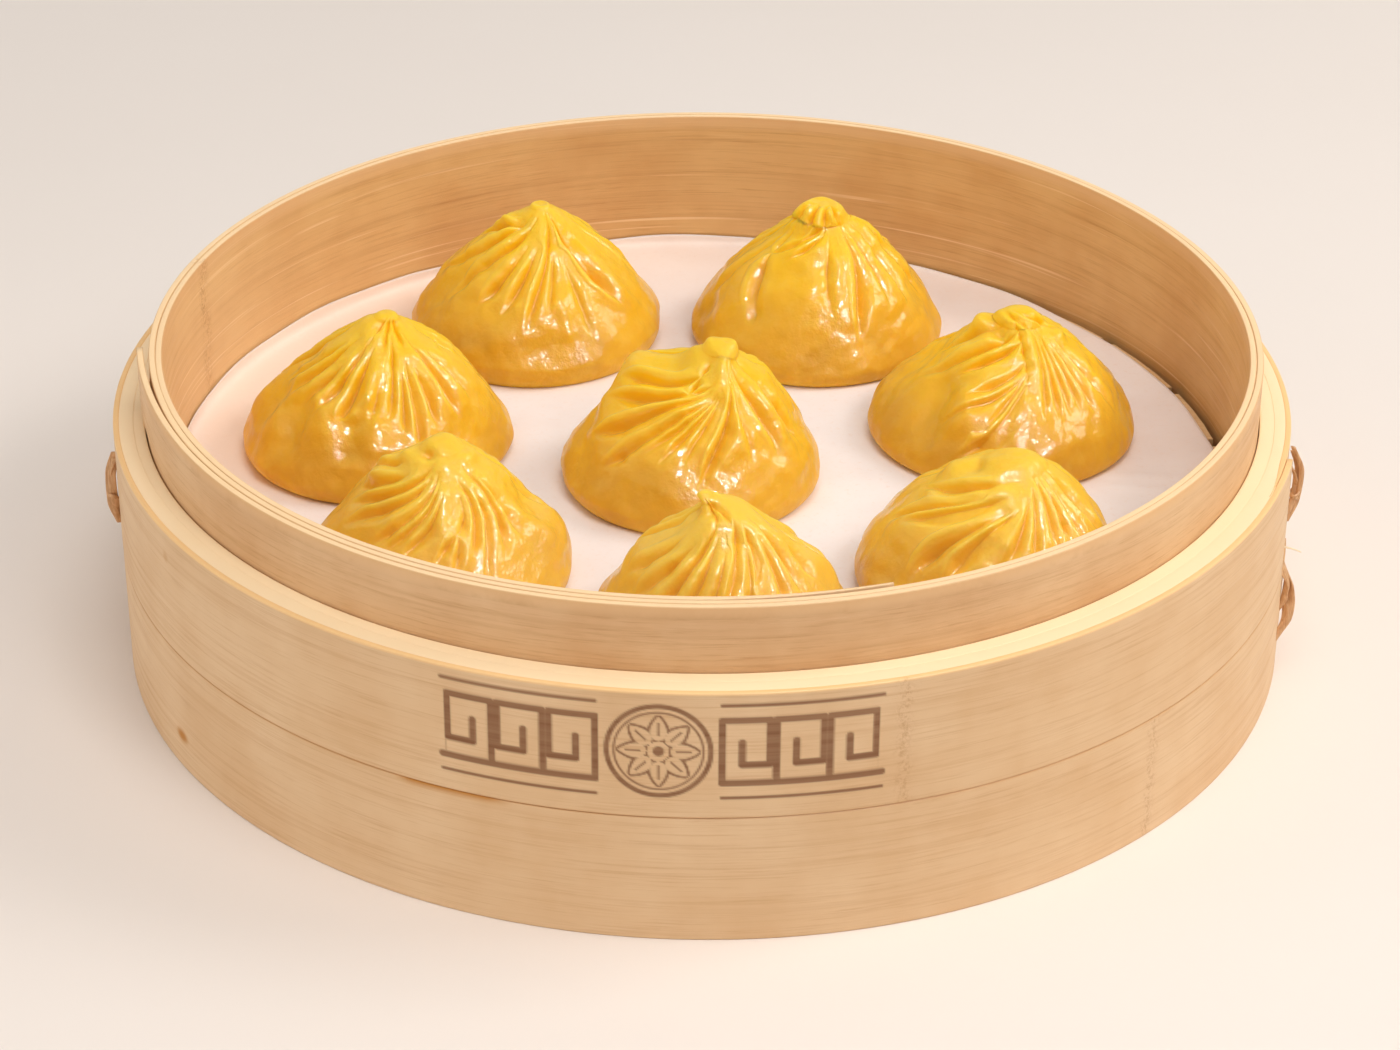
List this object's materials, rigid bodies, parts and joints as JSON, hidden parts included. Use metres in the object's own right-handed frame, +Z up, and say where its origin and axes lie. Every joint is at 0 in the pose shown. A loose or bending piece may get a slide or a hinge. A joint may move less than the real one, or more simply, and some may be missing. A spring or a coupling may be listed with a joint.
{
  "type": "steamed soup dumplings",
  "caption": "Round bamboo steamer tier with a paper liner, filled with small pleated soup dumplings of thin glossy dough.",
  "frame": {"origin": "centre of the basket's round base, on the surface it stands on", "axes": "+Z up; -Y towards the front of the basket, where the ornament is; +X to the right seen from the front"},
  "size_m": [0.2304, 0.2289, 0.0633],
  "materials": {
    "bamboo_ring": "planed bamboo strip, fine long grain, satin",
    "bamboo_band": "planed bamboo strip, fine long grain, satin",
    "bamboo_edge": "cut bamboo edge, pale, satin",
    "bamboo_floor": "split bamboo slat, matt",
    "liner_paper": "thin fibrous steaming paper, matt",
    "cane": "split cane, satin",
    "dumpling_skin": "wet translucent yellow dough, glossy"
  },
  "bodies": {
    "root": {"inner_ring": "bamboo_ring", "packing_hoop": "bamboo_edge", "outer_band_lower": "bamboo_band", "outer_band_upper": "bamboo_band", "floor_slat_1": "bamboo_floor", "floor_slat_2": "bamboo_floor", "floor_slat_3": "bamboo_floor", "floor_slat_4": "bamboo_floor", "floor_slat_5": "bamboo_floor", "floor_slat_6": "bamboo_floor", "floor_slat_7": "bamboo_floor", "floor_slat_8": "bamboo_floor", "floor_slat_9": "bamboo_floor", "floor_bar_1": "bamboo_floor", "floor_bar_2": "bamboo_floor", "paper_liner": "liner_paper", "lacing_left": "cane", "lacing_right_upper": "cane", "lacing_right_lower": "cane", "dumpling_1": "dumpling_skin", "dumpling_2": "dumpling_skin", "dumpling_3": "dumpling_skin", "dumpling_4": "dumpling_skin", "dumpling_5": "dumpling_skin", "dumpling_6": "dumpling_skin", "dumpling_7": "dumpling_skin", "dumpling_8": "dumpling_skin"}
  },
  "joints": []
}
